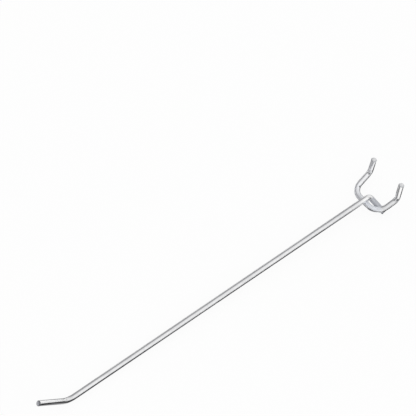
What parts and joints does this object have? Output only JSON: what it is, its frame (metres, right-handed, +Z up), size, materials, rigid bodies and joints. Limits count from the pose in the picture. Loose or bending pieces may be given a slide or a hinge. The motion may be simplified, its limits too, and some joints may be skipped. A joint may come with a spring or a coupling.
{
  "type": "pegboard hook",
  "caption": "Long straight plated wire peg with an upturned tip, welded across a U-shaped wire fork whose bent prongs lock behind a perforated board.",
  "frame": {"origin": "on the board's front face, level with the shank's axis and midway between the two prong holes", "axes": "+Y into the board, +Z up, +X to the right for someone facing the board; the shank runs out along -Y"},
  "size_m": [0.0288, 0.2671, 0.0272],
  "materials": {
    "wire": "bright plated drawn wire",
    "weld": "plated weld flash"
  },
  "bodies": {
    "root": {"shank": "wire", "prong_fork": "wire", "shank_weld": "weld", "foot_weld": "weld"}
  },
  "joints": []
}
